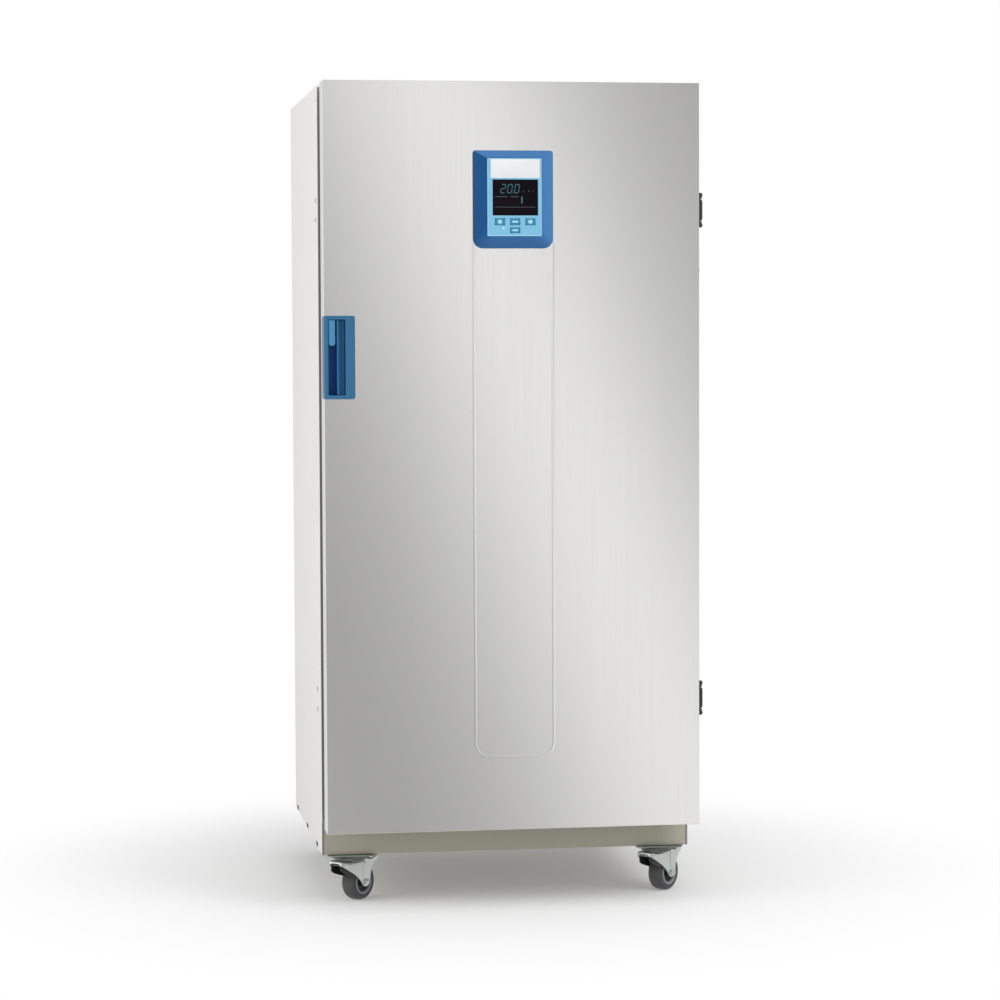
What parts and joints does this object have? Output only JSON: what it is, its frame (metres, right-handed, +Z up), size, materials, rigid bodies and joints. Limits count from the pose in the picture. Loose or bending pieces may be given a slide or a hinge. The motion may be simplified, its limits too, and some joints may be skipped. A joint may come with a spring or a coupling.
{
  "type": "refrigerated incubator",
  "caption": "Floor-standing refrigerated incubator on swivel casters: insulated steel door with a bevelled control panel and a side grip, inner glass door and slotted shelves.",
  "frame": {"origin": "on the floor, centred between the cabinet's sides, 390 mm in front of its back", "axes": "+Z up, +X towards the hinge side, the door faces -Y"},
  "size_m": [0.7735, 0.7822, 1.6542],
  "materials": {
    "white_paint": "smooth white powder coat",
    "base_steel": "satin khaki grey coat",
    "brushed_steel": "fine brushed stainless steel",
    "zinc": "bright zinc plate",
    "galvanised_steel": "dull galvanised sheet",
    "dark_plastic": "dark grey moulding",
    "black_plastic": "black moulding",
    "grey_plastic": "light grey moulding",
    "blue_plastic": "blue moulding with a soft sheen",
    "light_blue_plastic": "light blue membrane",
    "key_plastic": "blue key cap",
    "display_glass": "glossy black window",
    "gasket_rubber": "soft black seal",
    "foam": "cream rigid foam",
    "clear_glass": "clear toughened glass",
    "aluminium": "plain mill finish",
    "tyre_rubber": "dark grey tread",
    "compressor_black": "black enamel",
    "pin_steel": "bare steel"
  },
  "bodies": {
    "cabinet": {"left_side_panel": "white_paint", "right_side_panel": "white_paint", "top_panel": "white_paint", "rear_panel": "galvanised_steel", "machine_cover": "galvanised_steel", "base_frame": "base_steel", "front_collar": "dark_plastic", "insulation_jacket": "foam", "chamber_liner": "brushed_steel", "left_shelf_rack": "brushed_steel", "right_shelf_rack": "brushed_steel", "air_duct_panel": "brushed_steel", "chamber_fan_motor": "aluminium", "evaporator": "aluminium", "heater": "pin_steel", "temperature_probe": "pin_steel", "compressor": "compressor_black", "condenser": "galvanised_steel", "power_inlet": "black_plastic", "strike_plate": "zinc", "upper_hinge_bracket": "black_plastic", "lower_hinge_bracket": "black_plastic", "front_left_caster_mount": "zinc", "front_right_caster_mount": "zinc", "rear_left_caster_mount": "zinc", "rear_right_caster_mount": "zinc"},
    "door": {"door_skin": "brushed_steel", "door_liner": "dark_plastic", "door_insulation": "foam", "door_gasket": "gasket_rubber", "handle_housing": "blue_plastic", "display_bezel": "blue_plastic", "keypad_panel": "light_blue_plastic", "display_window": "display_glass", "upper_door_hinge_leaf": "black_plastic", "lower_door_hinge_leaf": "black_plastic", "cable_grommet": "grey_plastic"},
    "handle_paddle": {"handle_paddle": "blue_plastic"},
    "latch": {"latch_hook": "zinc"},
    "glass_door": {"glass_pane": "clear_glass", "glass_hinge_post": "aluminium", "glass_knob": "black_plastic"},
    "chamber_fan": {"chamber_fan": "black_plastic"},
    "condenser_fan": {"condenser_fan": "black_plastic"},
    "lower_shelf": {"lower_shelf": "brushed_steel"},
    "upper_shelf": {"upper_shelf": "brushed_steel"},
    "key_left": {"key_left": "key_plastic"},
    "key_middle": {"key_middle": "key_plastic"},
    "key_right": {"key_right": "key_plastic"},
    "key_lower": {"key_lower": "key_plastic"},
    "front_left_fork": {"front_left_caster_fork": "zinc"},
    "front_left_wheel": {"front_left_caster_wheel": "tyre_rubber"},
    "front_right_fork": {"front_right_caster_fork": "zinc"},
    "front_right_wheel": {"front_right_caster_wheel": "tyre_rubber"},
    "rear_left_fork": {"rear_left_caster_fork": "zinc"},
    "rear_left_wheel": {"rear_left_caster_wheel": "tyre_rubber"},
    "rear_right_fork": {"rear_right_caster_fork": "zinc"},
    "rear_right_wheel": {"rear_right_caster_wheel": "tyre_rubber"},
    "front_left_pedal": {"front_left_brake_pedal": "zinc"},
    "front_right_pedal": {"front_right_brake_pedal": "zinc"}
  },
  "joints": [
    {"name": "door_hinge", "type": "hinge", "parent": "cabinet", "child": "door", "pos_m": [0.3875, -0.32, 0.9], "axis": [0, 0, 1], "range_deg": [0, 110]},
    {"name": "glass_door_hinge", "type": "hinge", "parent": "cabinet", "child": "glass_door", "pos_m": [0.3055, -0.2662, 1.01], "axis": [0, 0, 1], "range_deg": [0, 110]},
    {"name": "lower_shelf_slide", "type": "slide", "parent": "cabinet", "child": "lower_shelf", "axis": [0, -1, 0], "range_m": [0, 0.087]},
    {"name": "upper_shelf_slide", "type": "slide", "parent": "cabinet", "child": "upper_shelf", "axis": [0, -1, 0], "range_m": [0, 0.087]},
    {"name": "handle_pull", "type": "hinge", "parent": "door", "child": "handle_paddle", "pos_m": [-0.335, -0.3673, 1.11], "axis": [0, 0, 1], "range_deg": [0, 20], "stiffness_Nm_per_rad": 0.05},
    {"name": "latch_swing", "type": "hinge", "parent": "door", "child": "latch", "pos_m": [-0.361, -0.282, 1.14], "axis": [0, 1, 0], "range_deg": [0, 15]},
    {"name": "chamber_fan_spin", "type": "hinge", "parent": "cabinet", "child": "chamber_fan", "pos_m": [0, 0.2777, 1.44], "axis": [0, 1, 0], "continuous": true},
    {"name": "condenser_fan_spin", "type": "hinge", "parent": "cabinet", "child": "condenser_fan", "pos_m": [-0.19, 0.266, 0.2133], "axis": [0, 1, 0], "continuous": true},
    {"name": "key_left_press", "type": "slide", "parent": "door", "child": "key_left", "axis": [0, 1, 0], "range_m": [0, 0.0006], "stiffness_N_per_m": 800},
    {"name": "key_middle_press", "type": "slide", "parent": "door", "child": "key_middle", "axis": [0, 1, 0], "range_m": [0, 0.0006], "stiffness_N_per_m": 800},
    {"name": "key_right_press", "type": "slide", "parent": "door", "child": "key_right", "axis": [0, 1, 0], "range_m": [0, 0.0006], "stiffness_N_per_m": 800},
    {"name": "key_lower_press", "type": "slide", "parent": "door", "child": "key_lower", "axis": [0, 1, 0], "range_m": [0, 0.0006], "stiffness_N_per_m": 800},
    {"name": "front_left_swivel", "type": "hinge", "parent": "cabinet", "child": "front_left_fork", "pos_m": [-0.319, -0.2283, 0.085], "axis": [0, 0, 1], "continuous": true},
    {"name": "front_left_roll", "type": "hinge", "parent": "front_left_fork", "child": "front_left_wheel", "pos_m": [-0.30031, -0.20881, 0.0375], "axis": [-0.7218, 0.6921, 0], "continuous": true},
    {"name": "front_left_pedal_lift", "type": "hinge", "parent": "front_left_fork", "child": "front_left_pedal", "pos_m": [-0.28549, -0.19336, 0.07459], "axis": [0.7218, -0.6921, 0], "range_deg": [0, 18]},
    {"name": "front_right_swivel", "type": "hinge", "parent": "cabinet", "child": "front_right_fork", "pos_m": [0.319, -0.2283, 0.085], "axis": [0, 0, 1], "continuous": true},
    {"name": "front_right_roll", "type": "hinge", "parent": "front_right_fork", "child": "front_right_wheel", "pos_m": [0.33769, -0.20881, 0.0375], "axis": [-0.7218, 0.6921, 0], "continuous": true},
    {"name": "front_right_pedal_lift", "type": "hinge", "parent": "front_right_fork", "child": "front_right_pedal", "pos_m": [0.35251, -0.19336, 0.07459], "axis": [0.7218, -0.6921, 0], "range_deg": [0, 18]},
    {"name": "rear_left_swivel", "type": "hinge", "parent": "cabinet", "child": "rear_left_fork", "pos_m": [-0.319, 0.32, 0.085], "axis": [0, 0, 1], "continuous": true},
    {"name": "rear_left_roll", "type": "hinge", "parent": "rear_left_fork", "child": "rear_left_wheel", "pos_m": [-0.30031, 0.33949, 0.0375], "axis": [-0.7218, 0.6921, 0], "continuous": true},
    {"name": "rear_right_swivel", "type": "hinge", "parent": "cabinet", "child": "rear_right_fork", "pos_m": [0.319, 0.32, 0.085], "axis": [0, 0, 1], "continuous": true},
    {"name": "rear_right_roll", "type": "hinge", "parent": "rear_right_fork", "child": "rear_right_wheel", "pos_m": [0.33769, 0.33949, 0.0375], "axis": [-0.7218, 0.6921, 0], "continuous": true}
  ],
  "couplings": [
    {"joint": "glass_door_hinge", "follows": "door_hinge", "ratio": 1},
    {"joint": "lower_shelf_slide", "follows": "door_hinge", "m_per_rad": 0.045},
    {"joint": "upper_shelf_slide", "follows": "door_hinge", "m_per_rad": 0.045},
    {"joint": "latch_swing", "follows": "handle_pull", "ratio": 0.75}
  ]
}
